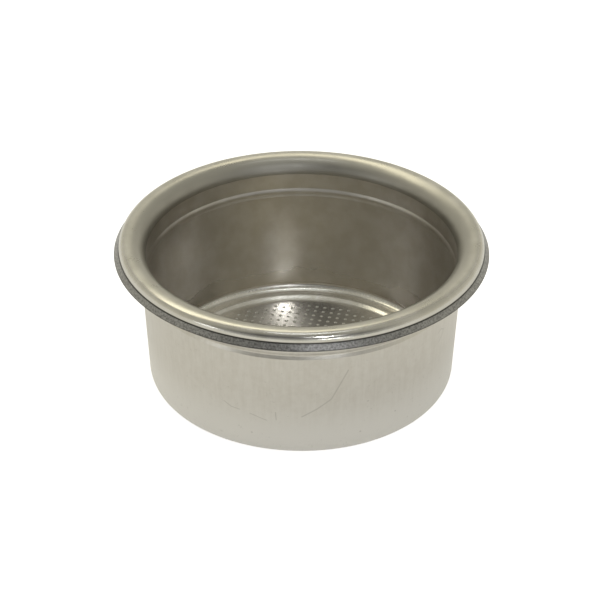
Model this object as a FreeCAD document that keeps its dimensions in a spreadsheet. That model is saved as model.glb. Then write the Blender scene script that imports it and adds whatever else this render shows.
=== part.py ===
import FreeCAD, Part

import math
import os

import Sketcher

# Espresso filter basket: one cup deep-drawn from stainless sheet, with a rolled rim, a retaining bead
# under it and a perforated base. The origin is on the cup's axis, in the plane it stands on, and +Z
# runs up the axis to the mouth. Lengths are millimetres and angles are degrees.

SIZES = {
    "sheet": (0.9, "thickness of the drawn sheet"),
    "height": (30.5, "standing plane to the top of the rim"),
    "body_diameter": (60.0, "outside of the neck and of the top of the wall"),
    "flare_radius": (3.1, "roll of the wall outward into the rim"),
    "crown_flat": (0.4, "top of the rim's crown between its two rolls"),
    "crown_radius": (1.5, "outer roll of the rim's crown"),
    "flank_height": (0.2, "upright flank of the crown, from its roll down to the crease"),
    "hem_width": (0.9, "how far the rim's hem reaches out from the crease"),
    "hem_angle": (50.0, "slope of the hem below the horizontal"),
    "neck_height": (3.2, "straight inside of the neck, from the flare down to the bead"),
    "bead_width": (1.8, "retaining bead from root to root"),
    "bead_depth": (0.4, "how far the bead stands in from the wall"),
    "bead_radius": (0.4, "outside of the bead's crest"),
    "draft_angle": (3.0, "taper of the wall below the bead"),
    "corner_radius": (1.9, "inside corner between wall and base"),
    "ledge_width": (0.32, "flat ring of the base, from the corner to the step's brow"),
    "step": (0.7, "drop from the ring of the base to its perforated disc"),
    "step_angle": (30.0, "slope of the step below the horizontal"),
    "step_radius": (2.1, "inside foot of the step"),
    "brow_radius": (0.3, "underside of the step's brow"),
    "pin_margin": (1.65, "edge of the disc to the circle that holds the centres of the pinholes"),
    "pin_width": (0.36, "across the flats of a pinhole"),
    "pin_pitch": (1.616, "pinhole to pinhole, along a row and from row to row"),
    "pin_row_angle": (-12.7, "rows of pinholes, turned from +X"),
    "pin_offset_along": (-0.1, "pinhole nearest the axis, measured from it along the rows"),
    "pin_offset_across": (-0.55, "pinhole nearest the axis, measured from it across the rows"),
}

# Radii and levels of the upper face of the sheet, each measured from its neighbour
BORE_RADIUS = "(Sizes.body_diameter / 2 - Sizes.sheet)"
CROWN_RADIUS = f"({BORE_RADIUS} + Sizes.flare_radius + Sizes.crown_flat + Sizes.crown_radius)"
CREASE_LEVEL = "(Sizes.height - Sizes.crown_radius - Sizes.flank_height)"
NECK_LEVEL = "(Sizes.height - Sizes.flare_radius - Sizes.neck_height)"
BEAD_LEVEL = f"({NECK_LEVEL} - Sizes.bead_width / 2)"
WALL_LEVEL = f"({NECK_LEVEL} - Sizes.bead_width)"
RING_LEVEL = "(Sizes.sheet + Sizes.step)"
CORNER_RADIUS = f"({BORE_RADIUS} - tan(Sizes.draft_angle) * ({WALL_LEVEL} - {RING_LEVEL}))"
LEDGE_RADIUS = f"({CORNER_RADIUS} - Sizes.corner_radius * tan(45 - Sizes.draft_angle / 2))"
BROW_RADIUS = (
    f"({LEDGE_RADIUS} - Sizes.ledge_width"
    " - (Sizes.brow_radius + Sizes.sheet) * tan(Sizes.step_angle / 2))"
)
DISC_RADIUS = f"({BROW_RADIUS} - Sizes.step / tan(Sizes.step_angle))"
FIELD_RADIUS = f"({DISC_RADIUS} - Sizes.pin_margin)"

# The flat plate that has the pinholes ends just outside them, within the disc.
PLATE_RADIUS = f"({FIELD_RADIUS} + Sizes.pin_width)"

# The upper face of the sheet from the plate out to the rim's edge: each corner's name, its distance
# from the axis and its level. Fillets round the corners off later.
UPPER_CORNERS = [
    ("plate", PLATE_RADIUS, "Sizes.sheet"),
    ("foot", DISC_RADIUS, "Sizes.sheet"),
    ("brow", BROW_RADIUS, RING_LEVEL),
    ("corner", CORNER_RADIUS, RING_LEVEL),
    ("low_root", BORE_RADIUS, WALL_LEVEL),
    ("crest", f"{BORE_RADIUS} - Sizes.bead_depth", BEAD_LEVEL),
    ("high_root", BORE_RADIUS, NECK_LEVEL),
    ("flare", BORE_RADIUS, "Sizes.height"),
    ("crown", CROWN_RADIUS, "Sizes.height"),
    ("crease", CROWN_RADIUS, CREASE_LEVEL),
    (
        "edge",
        f"{CROWN_RADIUS} + Sizes.hem_width",
        f"{CREASE_LEVEL} - tan(Sizes.hem_angle) * Sizes.hem_width",
    ),
]

# Each corner's fillet on the upper and on the lower face: two arcs round one centre, a sheet apart
FILLETS = [
    ("foot", "Sizes.step_radius", "Sizes.step_radius + Sizes.sheet"),
    ("brow", "Sizes.brow_radius + Sizes.sheet", "Sizes.brow_radius"),
    ("corner", "Sizes.corner_radius", "Sizes.corner_radius + Sizes.sheet"),
    ("crest", "Sizes.bead_radius + Sizes.sheet", "Sizes.bead_radius"),
    ("flare", "Sizes.flare_radius", "Sizes.flare_radius - Sizes.sheet"),
    ("crown", "Sizes.crown_radius", "Sizes.crown_radius - Sizes.sheet"),
    ("crease", None, "Sizes.sheet"),
]

# Which end of a line a constraint means, and the sketch's origin
START, END = range(1, 3)
ORIGIN = (-1, 1)


def make_sheet(doc):
    """The spreadsheet of driving sizes."""
    sheet = doc.addObject("Spreadsheet::Sheet", "Sizes")
    for row, (name, (value, meaning)) in enumerate(SIZES.items(), start=1):
        sheet.set(f"A{row}", meaning)
        sheet.set(f"B{row}", str(value))
        sheet.setAlias(f"B{row}", name)
    doc.recompute()
    return sheet


def mitred(corners, thickness):
    """The corners of a line that runs one thickness below another, on its right-hand side."""
    runs = [(b - a).normalize() for a, b in zip(corners, corners[1:])]
    sides = [FreeCAD.Vector(run.y, -run.x, 0) for run in runs]
    ends = [corners[0] + sides[0] * thickness]
    for corner, before, after in zip(corners[1:], sides, sides[1:]):
        ends.append(corner + (before + after) * (thickness / (1 + before.dot(after))))
    ends.append(corners[-1] + sides[-1] * thickness)
    return ends


def tie(sketch, name, expression, kind, *elements):
    """Adds a dimension to a sketch and binds it to the sheet."""
    value = float(sketch.evalExpression(expression))
    index = sketch.addConstraint(Sketcher.Constraint(kind, *elements, value))
    sketch.renameConstraint(index, name)
    sketch.setExpression(f"Constraints.{name}", expression)


def draw_section(body):
    """The sheet's section on one side of the axis, with sharp corners.

    The upper corners are measured from the origin. Each lower line runs parallel to the upper line
    above it, one sheet thickness away. Line i leaves upper corner i, and line last - i comes back
    under it.
    """
    sketch = body.newObject("Sketcher::SketchObject", "Section")
    plane = next(item for item in body.Origin.OriginFeatures if item.Role == "XZ_Plane")
    sketch.AttachmentSupport = (plane, [""])
    sketch.MapMode = "FlatFace"

    upper = [
        FreeCAD.Vector(float(sketch.evalExpression(x)), float(sketch.evalExpression(z)), 0)
        for _, x, z in UPPER_CORNERS
    ]
    lower = mitred(upper, float(sketch.evalExpression("Sizes.sheet")))
    outline = upper + lower[::-1]
    sketch.addGeometry([Part.LineSegment(a, b) for a, b in zip(outline, outline[1:] + outline[:1])])

    for line in range(len(outline)):
        after = (line + 1) % len(outline)
        sketch.addConstraint(Sketcher.Constraint("Coincident", line, END, after, START))
    for line, (name, x, z) in enumerate(UPPER_CORNERS):
        tie(sketch, f"{name}_x", x, "DistanceX", *ORIGIN, line, START)
        tie(sketch, f"{name}_z", z, "DistanceY", *ORIGIN, line, START)
    edge = len(UPPER_CORNERS) - 1
    joint = len(outline) - 1
    sketch.addConstraint(Sketcher.Constraint("Vertical", joint))
    sketch.addConstraint(Sketcher.Constraint("Perpendicular", edge - 1, edge))
    for line in range(edge):
        below = joint - 1 - line
        sketch.addConstraint(Sketcher.Constraint("Parallel", line, below))
        tie(sketch, f"sheet_{line}", "Sizes.sheet", "Distance", line, START, below)
    return sketch


def round_corners(sketch):
    """Fillets the section's corners on both faces of the sheet."""
    order = [name for name, _, _ in UPPER_CORNERS]
    joint = 2 * len(order) - 1
    for name, upper_radius, lower_radius in FILLETS:
        upper = order.index(name)
        for side, line, radius in (
            ("upper", upper, upper_radius),
            ("lower", joint - upper, lower_radius),
        ):
            if radius is None:
                continue
            sketch.fillet(line, START, float(sketch.evalExpression(radius)), True, True)
            arc = sketch.GeometryCount - 2
            tie(sketch, f"{name}_{side}", radius, "Radius", arc)


def draw_cup(doc):
    """The cup round its plate: the section turned about the axis."""
    body = doc.addObject("PartDesign::Body", "Cup")
    section = draw_section(body)
    round_corners(section)
    turned = body.newObject("PartDesign::Revolution", "Turned")
    turned.Profile = section
    turned.ReferenceAxis = (section, ["V_Axis"])
    turned.Angle = 360.0
    section.Visibility = False
    doc.recompute()
    return body


def pin_centres(sheet, field_radius):
    """The pinholes' centres: a square lattice, cut off by a circle."""
    reach = math.ceil(field_radius / sheet.pin_pitch) + 1
    offset = FreeCAD.Vector(sheet.pin_offset_along, sheet.pin_offset_across, 0)
    turn = FreeCAD.Rotation(FreeCAD.Vector(0, 0, 1), sheet.pin_row_angle)
    for row in range(-reach, reach + 1):
        for column in range(-reach, reach + 1):
            centre = FreeCAD.Vector(column, row, 0) * sheet.pin_pitch + offset
            if centre.Length <= field_radius:
                yield turn.multVec(centre)


def punch_plate(doc, sheet):
    """The perforated plate: a round face with a square hole for each pin, a sheet thick."""
    plate = doc.addObject("Part::Feature", "Plate")
    half = sheet.pin_width / 2
    corners = [(-half, -half), (-half, half), (half, half), (half, -half), (-half, -half)]
    hole = Part.makePolygon([FreeCAD.Vector(x, y, 0) for x, y in corners])
    hole.rotate(FreeCAD.Vector(0, 0, 0), FreeCAD.Vector(0, 0, 1), sheet.pin_row_angle)
    rim = Part.Wire(Part.makeCircle(float(plate.evalExpression(PLATE_RADIUS))))
    field_radius = float(plate.evalExpression(FIELD_RADIUS))
    holes = [hole.translated(centre) for centre in pin_centres(sheet, field_radius)]
    face = Part.Face([rim] + holes)
    plate.Shape = face.extrude(FreeCAD.Vector(0, 0, sheet.sheet))
    return plate


def sew(doc, name, cup, plate):
    """One solid from the cup and the plate, which meet on a cylinder: all their faces but that one."""
    basket = doc.addObject("Part::Feature", name)
    joint = float(basket.evalExpression(PLATE_RADIUS))
    faces = [
        face
        for shape in (cup.Shape, plate.Shape)
        for face in shape.Faces
        if not (isinstance(face.Surface, Part.Cylinder) and math.isclose(face.Surface.Radius, joint))
    ]
    skin = Part.makeCompound(faces)
    skin.sewShape()
    basket.Shape = Part.Solid(skin.Shells[0])
    return basket


def check(doc, nodes):
    """Stops on an object that failed to compute or a sub-part without a sound shape."""
    for item in doc.Objects:
        if {"Invalid", "Error"} & set(item.State):
            raise RuntimeError(f"{item.Label} did not compute: {item.State}")
    for node in nodes:
        if node.Shape.isNull() or not node.Shape.isValid():
            raise RuntimeError(f"{node.Label} has no sound shape")


def main():
    doc = FreeCAD.newDocument("filter_basket")
    sheet = make_sheet(doc)
    cup = draw_cup(doc)
    plate = punch_plate(doc, sheet)
    basket = sew(doc, "filter_basket", cup, plate)
    doc.recompute()

    nodes = [basket]
    check(doc, nodes)
    os.makedirs("parts", exist_ok=True)
    for node in nodes:
        node.Shape.exportStep(f"parts/{node.Label}.step")


main()
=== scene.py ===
import math

import bmesh
import bpy
from mathutils import Matrix, Vector
from mathutils.geometry import delaunay_2d_cdt


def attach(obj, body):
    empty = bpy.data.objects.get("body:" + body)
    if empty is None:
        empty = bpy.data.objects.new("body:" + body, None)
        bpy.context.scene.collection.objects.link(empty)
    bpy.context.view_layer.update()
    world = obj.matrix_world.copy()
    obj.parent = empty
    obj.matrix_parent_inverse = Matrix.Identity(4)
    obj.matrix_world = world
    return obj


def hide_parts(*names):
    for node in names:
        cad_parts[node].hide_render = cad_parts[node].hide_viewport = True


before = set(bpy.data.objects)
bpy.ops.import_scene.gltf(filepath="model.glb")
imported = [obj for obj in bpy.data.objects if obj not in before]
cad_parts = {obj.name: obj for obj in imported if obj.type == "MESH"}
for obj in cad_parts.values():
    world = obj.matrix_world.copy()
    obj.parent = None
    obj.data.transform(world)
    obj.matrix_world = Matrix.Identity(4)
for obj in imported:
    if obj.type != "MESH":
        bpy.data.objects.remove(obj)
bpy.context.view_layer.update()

MM = 0.001

# The cup's sizes in millimetres and degrees, the same as in the part's source
SHEET = 0.9
HEIGHT = 30.5
RIM_RADIUS = 35.0
CROWN_RADIUS = 34.1
CROWN_DROP = 1.7
CROWN_ROUND = 1.5
FLARE_ROUND = 3.1
HEM_ANGLE = 50.0
NECK_RADIUS = 30.0
BEAD_LEVEL = 23.3
BEAD_WIDTH = 1.8
BEAD_DEPTH = 0.4
BEAD_ROUND = 0.4
DRAFT_ANGLE = 3.0
CORNER_ROUND = 1.9
STEP = 0.7
STEP_ANGLE = 30.0
STEP_ROUND = 2.1
BROW_ROUND = 0.3
DISC_RADIUS = 24.35
PIN_PITCH = 1.616
PIN_FIELD_RADIUS = 22.7
PIN_ROW_ANGLE = -12.7
PIN_OFFSET = (-0.1, -0.55)
PLATE_RADIUS = 23.06

# The pinholes, which are round here and a little wider than the source's square ones
PIN_DIAMETER = 0.46
PIN_CHAMFER = 0.1
PIN_SIDES = 14

# How finely the mesh is divided, how near corners are welded and which edges are sharp
TURNS = 320
ARC_STEPS = 9
LONGEST_RUN = 2.0
WELD = 0.002
SHARP = math.radians(14)

# The finishes, in the order of their material slots, and where one gives way to the next
OUTSIDE, INSIDE, RIM, HEM, STEPPED, DISC, PINHOLE = range(7)
CREASE = HEIGHT - CROWN_DROP
FLARE_FOOT = 27.2
CORNER_TOP = SHEET + STEP + 0.9
SLOPE_FOOT = DISC_RADIUS - 0.6
UNDERSIDE_TOP = 0.72
UNDERSIDE_EDGE = 26.4
MARGIN = 0.05

# The relief of the finer finishes, in metres
FINE_RELIEF = 0.00001

# The photograph's camera, in millimetres, degrees and pixels of a frame 600 wide
ELEVATION = 32.179
ROLL = 0.246
FOCAL_LENGTH = 2331.165
DISTANCE = 450.37
SIDEWAYS = -0.252
UPWARDS = 13.806
FRAME_WIDTH = 600
SENSOR_WIDTH = 36

# The floor's half width and its gap below the cup in metres, and its glow to the camera and to mirrors
FLOOR_REACH = 6.0
FLOOR_GAP = 0.00002
FLOOR_SEEN = 0.75
FLOOR_MIRRORED = 0.3


def tangent(degrees):
    return math.tan(math.radians(degrees))


def upper_corners():
    """The upper face of the sheet from the plate to the rim's edge, with each corner's fillet."""
    inside = NECK_RADIUS - SHEET
    low_root = BEAD_LEVEL - BEAD_WIDTH / 2
    corners = [
        ((PLATE_RADIUS, SHEET), 0, 0),
        ((DISC_RADIUS, SHEET), STEP_ROUND, STEP_ROUND + SHEET),
        ((DISC_RADIUS + STEP / tangent(STEP_ANGLE), SHEET + STEP), BROW_ROUND + SHEET, BROW_ROUND),
        (
            (inside - tangent(DRAFT_ANGLE) * (low_root - SHEET - STEP), SHEET + STEP),
            CORNER_ROUND,
            CORNER_ROUND + SHEET,
        ),
        ((inside, low_root), 0, 0),
        ((inside - BEAD_DEPTH, BEAD_LEVEL), BEAD_ROUND + SHEET, BEAD_ROUND),
        ((inside, BEAD_LEVEL + BEAD_WIDTH / 2), 0, 0),
        ((inside, HEIGHT), FLARE_ROUND, FLARE_ROUND - SHEET),
        ((CROWN_RADIUS, HEIGHT), CROWN_ROUND, CROWN_ROUND - SHEET),
        ((CROWN_RADIUS, CREASE), 0, SHEET),
        ((RIM_RADIUS, CREASE - tangent(HEM_ANGLE) * (RIM_RADIUS - CROWN_RADIUS)), 0, 0),
    ]
    points = [Vector(point) for point, _, _ in corners]
    return points, [upper for _, upper, _ in corners], [lower for _, _, lower in corners]


def offset_line(points, distance):
    """The same line a distance away on its right-hand side, mitred at the corners."""
    runs = [(b - a).normalized() for a, b in zip(points, points[1:])]
    sides = [Vector((run.y, -run.x)) for run in runs]
    moved = [points[0] + sides[0] * distance]
    for point, before, after in zip(points[1:], sides, sides[1:]):
        moved.append(point + (before + after) * (distance / (1 + before.dot(after))))
    moved.append(points[-1] + sides[-1] * distance)
    return moved


def rounded(points, radii):
    """The line with its corners rounded off by arcs."""
    line = [points[0]]
    for before, corner, after, radius in zip(points, points[1:], points[2:], radii[1:]):
        if not radius:
            line.append(corner)
            continue
        back = (before - corner).normalized()
        on = (after - corner).normalized()
        half = back.angle(on) / 2
        centre = corner + (back + on).normalized() * (radius / math.sin(half))
        start = corner + back * (radius / math.tan(half)) - centre
        swing = math.copysign(math.pi - 2 * half, back.y * on.x - back.x * on.y)
        for step in range(ARC_STEPS + 1):
            turn = swing * step / ARC_STEPS
            line.append(
                centre
                + Vector(
                    (
                        start.x * math.cos(turn) - start.y * math.sin(turn),
                        start.x * math.sin(turn) + start.y * math.cos(turn),
                    )
                )
            )
    line.append(points[-1])
    return line


def refined(line):
    """The line with its long runs divided, so that no quad is much longer than it is wide."""
    fine = [line[0]]
    for a, b in zip(line, line[1:]):
        parts = max(1, math.ceil((b - a).length / LONGEST_RUN))
        fine.extend(a.lerp(b, part / parts) for part in range(1, parts + 1))
    return fine


def section():
    """The sheet's section as one line: along its upper face and back along its lower face."""
    points, upper_radii, lower_radii = upper_corners()
    upper = refined(rounded(points, upper_radii))
    lower = refined(rounded(offset_line(points, SHEET), lower_radii))
    return upper, lower[::-1]


def zone(face_side, point):
    """The finish at a point of the section."""
    r, z = point
    if face_side == "upper":
        if z > CREASE or (r < CROWN_RADIUS - MARGIN and z > FLARE_FOOT):
            return RIM
        if r > CROWN_RADIUS - MARGIN:
            return HEM
        if z > CORNER_TOP:
            return INSIDE
        if r > SLOPE_FOOT:
            return STEPPED
        return DISC
    if r > CROWN_RADIUS + 2 * MARGIN and z < CREASE:
        return HEM
    if z < UNDERSIDE_TOP and r < UNDERSIDE_EDGE:
        return DISC
    return OUTSIDE


def pin_centres():
    """The pinholes' centres: a square lattice, cut off by a circle."""
    reach = math.ceil(PIN_FIELD_RADIUS / PIN_PITCH) + 1
    turn = Matrix.Rotation(math.radians(PIN_ROW_ANGLE), 2)
    for row in range(-reach, reach + 1):
        for column in range(-reach, reach + 1):
            centre = Vector((column, row)) * PIN_PITCH + Vector(PIN_OFFSET)
            if centre.length <= PIN_FIELD_RADIUS:
                yield turn @ centre


def ring_of(radius, sides, centre=Vector((0, 0))):
    """Points round a circle, anticlockwise."""
    return [
        centre + Vector((math.cos(a), math.sin(a))) * radius
        for a in (2 * math.pi * side / sides for side in range(sides))
    ]


def add_plate(bm):
    """The perforated plate: both flat faces and the wall of each round pinhole."""
    centres = list(pin_centres())
    outline = ring_of(PLATE_RADIUS, TURNS)
    mouth = PIN_DIAMETER / 2 + PIN_CHAMFER
    for level, facing_up in ((SHEET, True), (0.0, False)):
        flat = list(outline)
        loops = [list(range(TURNS))]
        for centre in centres:
            start = len(flat)
            flat.extend(ring_of(mouth, PIN_SIDES, centre))
            loops.append(list(range(start, start + PIN_SIDES))[::-1])
        edges = [(a, b) for loop in loops for a, b in zip(loop, loop[1:] + loop[:1])]
        points, _, faces, _, _, _ = delaunay_2d_cdt(flat, edges, [], 0, 1e-6)
        verts = [bm.verts.new((p.x, p.y, level)) for p in points]
        hole_of = {}
        for number, loop in enumerate(loops[1:]):
            for index in loop:
                hole_of[index] = number
        for face in faces:
            holes = {hole_of.get(index, -1) for index in face}
            if len(holes) == 1 and -1 not in holes:
                continue
            corners = [verts[index] for index in (face if facing_up else face[::-1])]
            bm.faces.new(corners).material_index = DISC
    for centre in centres:
        rings = []
        for radius, level in (
            (mouth, SHEET),
            (PIN_DIAMETER / 2, SHEET - PIN_CHAMFER),
            (PIN_DIAMETER / 2, PIN_CHAMFER),
            (mouth, 0.0),
        ):
            points = ring_of(radius, PIN_SIDES, centre)
            rings.append([bm.verts.new((p.x, p.y, level)) for p in points])
        for high, low in zip(rings, rings[1:]):
            for side in range(PIN_SIDES):
                after = (side + 1) % PIN_SIDES
                wall = bm.faces.new((high[side], low[side], low[after], high[after]))
                wall.material_index = PINHOLE
                wall.smooth = True


def add_cup(bm):
    """The cup round the plate: the section turned about the axis."""
    upper, lower = section()
    line = [("upper", point) for point in upper] + [("lower", point) for point in lower]
    angles = [2 * math.pi * turn / TURNS for turn in range(TURNS)]
    rings = [
        [bm.verts.new((r * math.cos(a), r * math.sin(a), z)) for a in angles]
        for _, (r, z) in line
    ]
    for index in range(len(line) - 1):
        (side, point), (next_side, next_point) = line[index], line[index + 1]
        finish = zone(side if side == next_side else "lower", (point + next_point) / 2)
        for turn in range(TURNS):
            after = (turn + 1) % TURNS
            quad = bm.faces.new(
                (rings[index][turn], rings[index + 1][turn], rings[index + 1][after], rings[index][after])
            )
            quad.material_index = finish
            quad.smooth = True


def build_basket():
    """The basket's mesh in metres, closed and with its corners marked sharp."""
    bm = bmesh.new()
    add_cup(bm)
    add_plate(bm)
    bmesh.ops.remove_doubles(bm, verts=bm.verts, dist=WELD)
    bmesh.ops.recalc_face_normals(bm, faces=bm.faces)
    for edge in bm.edges:
        if len(edge.link_faces) == 2 and edge.calc_face_angle() > SHARP:
            edge.smooth = False
    bmesh.ops.scale(bm, vec=(MM, MM, MM), verts=bm.verts)
    mesh = bpy.data.meshes.new("basket")
    bm.to_mesh(mesh)
    bm.free()
    basket = bpy.data.objects.new("basket", mesh)
    bpy.context.scene.collection.objects.link(basket)
    return basket


class Shader:
    """Short ways to add nodes to a material."""

    def __init__(self, name):
        self.material = bpy.data.materials.new(name)
        self.material.use_nodes = True
        self.tree = self.material.node_tree
        self.principled = self.tree.nodes["Principled BSDF"]

    def set(self, socket, value):
        if isinstance(value, bpy.types.NodeSocket):
            self.tree.links.new(value, socket)
        else:
            socket.default_value = value

    def math(self, operation, *values):
        node = self.tree.nodes.new("ShaderNodeMath")
        node.operation = operation
        for socket, value in zip(node.inputs, values):
            self.set(socket, value)
        return node.outputs[0]

    def ramp(self, value, low, high, start=0.0, end=1.0):
        """Goes smoothly from start to end as value goes from low to high."""
        node = self.tree.nodes.new("ShaderNodeMapRange")
        node.interpolation_type = "SMOOTHSTEP"
        for name, number in (
            ("Value", value),
            ("From Min", low),
            ("From Max", high),
            ("To Min", start),
            ("To Max", end),
        ):
            self.set(node.inputs[name], number)
        return node.outputs["Result"]

    def combine(self, x, y, z):
        node = self.tree.nodes.new("ShaderNodeCombineXYZ")
        for socket, value in zip(node.inputs, (x, y, z)):
            self.set(socket, value)
        return node.outputs[0]

    def noise(self, vector, scale, detail=3.0, roughness=0.55):
        node = self.tree.nodes.new("ShaderNodeTexNoise")
        self.set(node.inputs["Vector"], vector)
        node.inputs["Scale"].default_value = scale
        node.inputs["Detail"].default_value = detail
        node.inputs["Roughness"].default_value = roughness
        return node.outputs["Fac"]

    def mix(self, factor, first, second):
        """The first colour where the factor is 0, the second where it is 1."""
        node = self.tree.nodes.new("ShaderNodeMix")
        node.data_type = "RGBA"
        self.set(node.inputs[0], factor)
        self.set(node.inputs[6], first)
        self.set(node.inputs[7], second)
        return node.outputs[2]

    def bump(self, height, distance, strength):
        node = self.tree.nodes.new("ShaderNodeBump")
        node.inputs["Strength"].default_value = strength
        node.inputs["Distance"].default_value = distance
        self.set(node.inputs["Height"], height)
        return node.outputs[0]

    def place(self):
        """Object position in millimetres: as a vector, and its x, y and z."""
        coordinates = self.tree.nodes.new("ShaderNodeTexCoord")
        scale = self.tree.nodes.new("ShaderNodeVectorMath")
        scale.operation = "SCALE"
        scale.inputs["Scale"].default_value = 1 / MM
        self.tree.links.new(coordinates.outputs["Object"], scale.inputs[0])
        split = self.tree.nodes.new("ShaderNodeSeparateXYZ")
        self.tree.links.new(scale.outputs[0], split.inputs[0])
        x, y, z = split.outputs
        return scale.outputs[0], x, y, z

    def length(self, x, y):
        """The length of a vector with two parts."""
        squares = self.math("ADD", self.math("MULTIPLY", x, x), self.math("MULTIPLY", y, y))
        return self.math("SQRT", squares)

    def finish(self, colour, roughness, normal, metallic=1.0):
        self.principled.inputs["Metallic"].default_value = metallic
        self.set(self.principled.inputs["Base Color"], colour)
        self.set(self.principled.inputs["Roughness"], roughness)
        self.set(self.principled.inputs["Normal"], normal)
        return self.material


# Wear on the outer wall: arc length round it from the front, and level, in millimetres
LONG_SCRATCH = [(8.6, 19.6), (5.6, 13.6), (3.0, 11.6), (0.2, 9.9)]
SHORT_SCRATCHES = [
    [(30.2, 17.2), (31.6, 18.2), (31.9, 19.3), (30.9, 19.9), (30.0, 19.4)],
    [(-14.8, 11.0), (-13.4, 10.2), (-11.6, 10.0)],
    [(-9.6, 9.6), (-6.4, 8.6)],
    [(-4.7, 10.6), (-4.6, 8.9)],
]
PITS = [(12.7, 11.7), (18.9, 7.3), (11.4, 5.1), (-9.4, 5.3)]


def scratch(shader, along, level, points, width):
    """1 on a thin line through points (arc length from the front, level) on the wall, 0 off it."""
    mask = None
    for (s0, z0), (s1, z1) in zip(points, points[1:]):
        ds, dz = s1 - s0, z1 - z0
        squared = ds * ds + dz * dz
        ps = shader.math("SUBTRACT", along, s0)
        pz = shader.math("SUBTRACT", level, z0)
        run = shader.math("MULTIPLY", ps, ds / squared)
        share = shader.math("ADD", run, shader.math("MULTIPLY", pz, dz / squared))
        share = shader.math("MINIMUM", shader.math("MAXIMUM", share, 0.0), 1.0)
        es = shader.math("SUBTRACT", ps, shader.math("MULTIPLY", share, ds))
        ez = shader.math("SUBTRACT", pz, shader.math("MULTIPLY", share, dz))
        part = shader.ramp(shader.length(es, ez), 0.0, width, 1.0, 0.0)
        mask = part if mask is None else shader.math("MAXIMUM", mask, part)
    return mask


def outside_finish():
    """Satin drawn steel with faint upright marks, mottling, scuffs, a few scratches and pits, and a
    painted reflection of the floor that makes it paler towards the foot.
    """
    s = Shader("steel_outside")
    position, x, y, z = s.place()
    along = s.math("MULTIPLY", s.math("ARCTAN2", x, s.math("MULTIPLY", y, -1.0)), NECK_RADIUS)
    streaks = s.noise(s.combine(x, y, s.math("MULTIPLY", z, 0.06)), 1.3, 4.0, 0.7)
    cloud = s.noise(position, 0.22, 3.0)
    blotch = s.noise(position, 0.7, 4.0, 0.65)
    grain = s.noise(position, 4.5, 3.0, 0.7)
    scuffs = s.ramp(s.noise(position, 1.5, 5.0, 0.6), 0.6, 0.7)
    scuffs = s.math("MULTIPLY", scuffs, s.ramp(cloud, 0.42, 0.6))
    marks = scratch(s, along, z, LONG_SCRATCH, 0.22)
    for path in SHORT_SCRATCHES:
        marks = s.math("MAXIMUM", marks, scratch(s, along, z, path, 0.15))
    for spot, level in PITS:
        pit = scratch(s, along, z, [(spot, level), (spot + 0.1, level)], 0.25)
        marks = s.math("MAXIMUM", marks, pit)
    tone = s.math("ADD", s.math("MULTIPLY", blotch, 0.55), s.math("MULTIPLY", streaks, 0.45))
    colour = s.mix(s.ramp(tone, 0.3, 0.7), (0.575, 0.545, 0.49, 1), (0.645, 0.62, 0.57, 1))
    # Painted reflection: the wall is made paler towards the foot, standing in for the bright floor it
    # mirrors there.
    colour = s.mix(s.ramp(z, 3.0, 15.0, 1.0, 0.0), colour, (0.74, 0.72, 0.675, 1))
    colour = s.mix(s.math("MULTIPLY", scuffs, 0.3), colour, (0.42, 0.4, 0.36, 1))
    colour = s.mix(s.math("MULTIPLY", marks, 0.4), colour, (0.3, 0.28, 0.25, 1))
    roughness = s.math("ADD", s.ramp(blotch, 0.3, 0.7, 0.27, 0.36), s.math("MULTIPLY", grain, 0.06))
    height = s.math("ADD", s.math("MULTIPLY", streaks, 0.18), s.math("MULTIPLY", grain, 0.25))
    height = s.math("ADD", height, s.math("MULTIPLY", blotch, 0.4))
    height = s.math("SUBTRACT", height, s.math("ADD", marks, s.math("MULTIPLY", scuffs, 0.5)))
    return s.finish(colour, roughness, s.bump(height, FINE_RELIEF, 0.8))


def inside_finish():
    """The inner wall: duller, with soft upright patches and a brown tinge of old coffee."""
    s = Shader("steel_inside")
    position, x, y, z = s.place()
    patches = s.noise(s.combine(x, y, s.math("MULTIPLY", z, 0.35)), 0.12, 2.0)
    cloud = s.noise(position, 0.3, 4.0)
    grain = s.noise(position, 5.0, 3.0, 0.7)
    streaks = s.noise(s.combine(x, y, s.math("MULTIPLY", z, 0.08)), 1.5, 4.0, 0.7)
    colour = s.mix(s.ramp(cloud, 0.3, 0.7), (0.6, 0.57, 0.52, 1), (0.66, 0.635, 0.595, 1))
    dull = s.ramp(patches, 0.35, 0.65, 0.29, 0.37)
    polished = s.ramp(z, 3.0, 9.0, 0.55, 1.0)
    roughness = s.math("MULTIPLY", s.math("ADD", dull, s.math("MULTIPLY", grain, 0.05)), polished)
    height = s.math("ADD", s.math("MULTIPLY", streaks, 0.35), s.math("MULTIPLY", grain, 0.25))
    return s.finish(colour, roughness, s.bump(height, FINE_RELIEF, 0.8))


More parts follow.
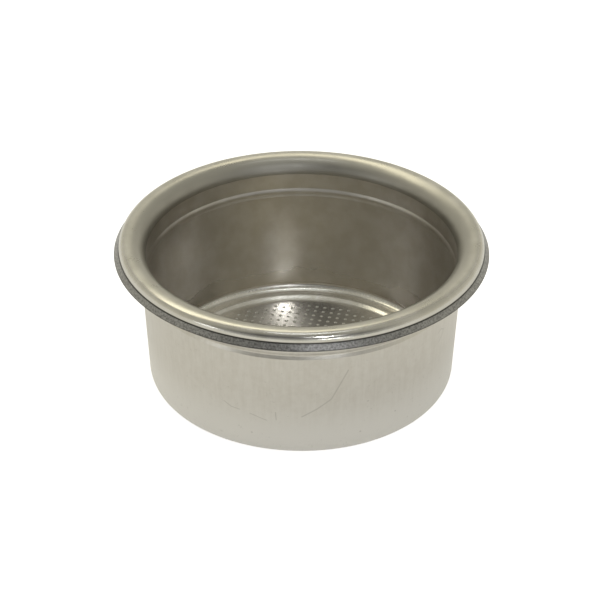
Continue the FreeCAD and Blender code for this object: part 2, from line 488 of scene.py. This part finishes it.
def rim_finish():
    """The rolled rim: fine lines round it, duller and with painted shade down the flare, a painted shadow
    along the crease, and polished on the crown's edge.
    """
    s = Shader("steel_rim")
    position, x, y, z = s.place()
    radius = s.length(x, y)
    out = s.math("MULTIPLY", radius, 5.0)
    up = s.math("MULTIPLY", z, 5.0)
    lines = s.noise(s.combine(out, up, s.math("MULTIPLY", x, 0.05)), 1.0)
    grain = s.noise(position, 4.0, 3.0, 0.65)
    cloud = s.noise(position, 0.25, 3.0)
    # Painted shadow: near black on the crown's flank just above the crease, standing in for the shade in
    # the groove.
    crease_shade = s.ramp(z, CREASE + 0.02, CREASE + 0.22, 1.0, 0.0)
    flank = s.ramp(radius, CROWN_RADIUS - 0.1, CROWN_RADIUS - 0.02)
    colour = s.mix(s.ramp(cloud, 0.3, 0.7), (0.58, 0.56, 0.5, 1), (0.64, 0.62, 0.57, 1))
    # Painted shade: the colour darkens down the flare into the neck, which also dims the flare's
    # highlight.
    flare = s.ramp(radius, NECK_RADIUS, NECK_RADIUS + 3.0)
    colour = s.mix(flare, (0.4, 0.385, 0.345, 1), colour)
    colour = s.mix(s.math("MULTIPLY", crease_shade, flank), colour, (0.06, 0.055, 0.05, 1))
    roughness = s.math("ADD", s.ramp(cloud, 0.3, 0.7, 0.25, 0.32), s.math("MULTIPLY", grain, 0.05))
    polish = s.ramp(radius, CROWN_RADIUS - 1.1, CROWN_RADIUS - 0.5, 1.0, 0.65)
    roughness = s.math("MULTIPLY", roughness, polish)
    dulling = s.ramp(radius, NECK_RADIUS - 0.1, NECK_RADIUS + 0.9, 1.45, 1.0)
    roughness = s.math("MULTIPLY", roughness, dulling)
    height = s.math("ADD", s.math("MULTIPLY", lines, 0.35), s.math("MULTIPLY", grain, 0.3))
    return s.finish(colour, roughness, s.bump(height, FINE_RELIEF, 0.8))


def hem_finish():
    """The hem below the crown: speckled, as the press left it, with painted shade in the crease and along
    its lower edge.
    """
    s = Shader("steel_hem")
    position, x, y, z = s.place()
    speckle = s.noise(position, 3.0, 4.0, 0.75)
    cloud = s.noise(position, 0.4, 3.0)
    near = s.ramp(s.length(x, y), CROWN_RADIUS + 0.02, CROWN_RADIUS + 0.2, 1.0, 0.0)
    # Painted shade: near black in the crease at the hem's top and along its lower edge.
    crease_shade = s.math("MULTIPLY", near, s.ramp(z, CREASE - 0.5, CREASE - 0.3))
    edge = s.ramp(z, CREASE - 1.1, CREASE - 0.9, 1.0, 0.0)
    colour = s.mix(s.ramp(speckle, 0.35, 0.65), (0.2, 0.196, 0.193, 1), (0.46, 0.455, 0.445, 1))
    colour = s.mix(s.math("MAXIMUM", crease_shade, s.math("MULTIPLY", edge, 0.8)), colour, (0.05, 0.048, 0.045, 1))
    roughness = s.ramp(cloud, 0.3, 0.7, 0.34, 0.42)
    return s.finish(colour, roughness, s.bump(speckle, 0.00003, 0.9))


def base_finish(name, low, high, rough_low, rough_high, depth):
    """The base: speckled, more so on the perforated disc, and duller up the corner."""
    s = Shader(name)
    position, _, _, z = s.place()
    speckle = s.noise(position, 2.6, 4.0, 0.7)
    cloud = s.noise(position, 0.35, 3.0)
    colour = s.mix(s.ramp(cloud, 0.3, 0.7), low, high)
    corner = s.ramp(z, CORNER_TOP - 0.6, CORNER_TOP, 0.0, 0.14)
    roughness = s.math("ADD", s.ramp(speckle, 0.3, 0.7, rough_low, rough_high), corner)
    return s.finish(colour, roughness, s.bump(speckle, depth, 0.9))


def pinhole_painted_light():
    """The pinholes' walls: rough and grainy, and painted pale and a little warm, a painted light standing
    in for the light that comes through the holes.
    """
    s = Shader("steel_pinhole")
    grain = s.noise(s.place()[0], 6.0, 3.0, 0.7)
    # Painted light: the walls are pale and not metallic, standing in for light that shines through the
    # holes.
    colour = s.mix(s.ramp(grain, 0.3, 0.7), (0.8, 0.78, 0.7, 1), (0.92, 0.9, 0.83, 1))
    return s.finish(colour, 0.6, s.bump(grain, FINE_RELIEF, 0.8), metallic=0.0)


def add_floor():
    """A plain white floor that keeps the object's soft shadow."""
    mesh = bpy.data.meshes.new("floor")
    bm = bmesh.new()
    bmesh.ops.create_grid(bm, x_segments=1, y_segments=1, size=FLOOR_REACH)
    bm.to_mesh(mesh)
    bm.free()
    floor = bpy.data.objects.new("floor", mesh)
    bpy.context.scene.collection.objects.link(floor)
    floor.location.z = -FLOOR_GAP
    material = bpy.data.materials.new("floor_white")
    material.use_nodes = True
    tree = material.node_tree
    tree.nodes.clear()
    out = tree.nodes.new("ShaderNodeOutputMaterial")
    add = tree.nodes.new("ShaderNodeAddShader")
    paper = tree.nodes.new("ShaderNodeBsdfDiffuse")
    paper.inputs["Color"].default_value = (0.86, 0.86, 0.85, 1)
    lift = tree.nodes.new("ShaderNodeEmission")
    path = tree.nodes.new("ShaderNodeLightPath")
    seen = tree.nodes.new("ShaderNodeMath")
    seen.operation = "MULTIPLY"
    seen.inputs[1].default_value = FLOOR_SEEN
    mirrored = tree.nodes.new("ShaderNodeMath")
    mirrored.operation = "MULTIPLY_ADD"
    mirrored.inputs[1].default_value = FLOOR_MIRRORED
    tree.links.new(path.outputs["Is Camera Ray"], seen.inputs[0])
    tree.links.new(path.outputs["Is Glossy Ray"], mirrored.inputs[0])
    tree.links.new(seen.outputs[0], mirrored.inputs[2])
    tree.links.new(mirrored.outputs[0], lift.inputs["Strength"])
    tree.links.new(paper.outputs[0], add.inputs[0])
    tree.links.new(lift.outputs[0], add.inputs[1])
    tree.links.new(add.outputs[0], out.inputs["Surface"])
    mesh.materials.append(material)


def add_lamp(name, direction, distance, width, height, power, colour):
    """A soft rectangular lamp that points at the cup."""
    data = bpy.data.lights.new(name, "AREA")
    data.shape = "RECTANGLE"
    data.size = width
    data.size_y = height
    data.energy = power
    data.color = colour
    lamp = bpy.data.objects.new(name, data)
    bpy.context.scene.collection.objects.link(lamp)
    aim = Vector((0, 0, 0.02))
    towards = Vector(direction).normalized()
    lamp.location = aim + towards * distance
    lamp.rotation_euler = (-towards).to_track_quat("-Z", "Y").to_euler()
    lamp.visible_camera = False


def set_world():
    """White to the camera; to everything else a pale warm room that is dark in front."""
    world = bpy.data.worlds.new("studio")
    bpy.context.scene.world = world
    world.use_nodes = True
    tree = world.node_tree
    tree.nodes.clear()
    out = tree.nodes.new("ShaderNodeOutputWorld")
    background = tree.nodes.new("ShaderNodeBackground")
    path = tree.nodes.new("ShaderNodeLightPath")
    coordinates = tree.nodes.new("ShaderNodeTexCoord")
    split = tree.nodes.new("ShaderNodeSeparateXYZ")
    ramp = tree.nodes.new("ShaderNodeValToRGB")
    front = tree.nodes.new("ShaderNodeMapRange")
    horizon = tree.nodes.new("ShaderNodeMapRange")
    shade = tree.nodes.new("ShaderNodeMix")
    room = tree.nodes.new("ShaderNodeMix")
    mix = tree.nodes.new("ShaderNodeMix")
    shade.data_type = room.data_type = mix.data_type = "RGBA"
    stops = ramp.color_ramp.elements
    stops[0].position = 0.0
    stops[0].color = (0.85, 0.83, 0.72, 1)
    stops[1].position = 1.0
    stops[1].color = (0.46, 0.45, 0.4, 1)
    for position, colour in ((0.25, (0.64, 0.62, 0.54, 1)), (0.55, (0.55, 0.54, 0.47, 1))):
        stop = stops.new(position)
        stop.color = colour
    front.interpolation_type = horizon.interpolation_type = "SMOOTHSTEP"
    front.inputs["From Min"].default_value = -0.85
    front.inputs["From Max"].default_value = -0.2
    horizon.inputs["From Min"].default_value = 0.22
    horizon.inputs["From Max"].default_value = 0.5
    tree.links.new(coordinates.outputs["Generated"], split.inputs[0])
    tree.links.new(split.outputs["Y"], front.inputs["Value"])
    tree.links.new(split.outputs["Z"], ramp.inputs["Fac"])
    tree.links.new(front.outputs["Result"], room.inputs[0])
    tree.links.new(split.outputs["Z"], horizon.inputs["Value"])
    tree.links.new(horizon.outputs["Result"], shade.inputs[0])
    shade.inputs[6].default_value = (0.4, 0.4, 0.38, 1)
    shade.inputs[7].default_value = (0.1, 0.1, 0.1, 1)
    tree.links.new(shade.outputs[2], room.inputs[6])
    tree.links.new(ramp.outputs["Color"], room.inputs[7])
    tree.links.new(path.outputs["Is Camera Ray"], mix.inputs[0])
    tree.links.new(room.outputs[2], mix.inputs[6])
    mix.inputs[7].default_value = (1, 1, 1, 1)
    tree.links.new(mix.outputs[2], background.inputs["Color"])
    tree.links.new(background.outputs[0], out.inputs["Surface"])


def add_camera():
    """The photograph's camera, fitted to the cup's outline."""
    elevation = math.radians(ELEVATION)
    roll = math.radians(ROLL)
    right = Vector((1, 0, 0))
    up = Vector((0, math.sin(elevation), math.cos(elevation)))
    forward = Vector((0, math.cos(elevation), -math.sin(elevation)))
    data = bpy.data.cameras.new("camera")
    data.lens = SENSOR_WIDTH * FOCAL_LENGTH / FRAME_WIDTH
    data.sensor_width = SENSOR_WIDTH
    camera = bpy.data.objects.new("camera", data)
    bpy.context.scene.collection.objects.link(camera)
    place = (SIDEWAYS * right + UPWARDS * up - DISTANCE * forward) * MM
    across = right * math.cos(roll) + up * math.sin(roll)
    upward = up * math.cos(roll) - right * math.sin(roll)
    turn = Matrix((across, upward, -forward)).transposed()
    camera.matrix_world = Matrix.Translation(place) @ turn.to_4x4()
    bpy.context.scene.camera = camera


basket = build_basket()
for finish in (
    outside_finish(),
    inside_finish(),
    rim_finish(),
    hem_finish(),
    base_finish("steel_step", (0.66, 0.64, 0.58, 1), (0.76, 0.74, 0.69, 1), 0.16, 0.26, 0.000008),
    base_finish("steel_disc", (0.7, 0.68, 0.63, 1), (0.8, 0.78, 0.73, 1), 0.13, 0.27, 0.000015),
    pinhole_painted_light(),
):
    basket.data.materials.append(finish)
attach(basket, "root")
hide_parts("filter_basket")

add_floor()
set_world()
add_camera()
add_lamp("lamp_warm", (-0.3, 0.46, 0.84), 0.8, 0.8, 0.26, 1.15, (1.0, 0.95, 0.74))
add_lamp("lamp_cool", (0.03, -0.08, 1.0), 0.8, 0.3, 0.07, 0.24, (0.9, 0.95, 1.0))
add_lamp("lamp_front", (0.2, -0.77, 0.61), 0.8, 0.07, 0.05, 0.5, (0.95, 0.97, 1.0))
add_lamp("lamp_right", (0.31, -0.95, 0.09), 1.0, 0.25, 0.06, 0.4, (0.93, 0.96, 1.0))
add_lamp("lamp_left", (-0.8, -0.57, 0.12), 1.0, 0.2, 0.06, 0.24, (0.93, 0.96, 1.0))
bpy.context.scene.view_settings.view_transform = "Standard"
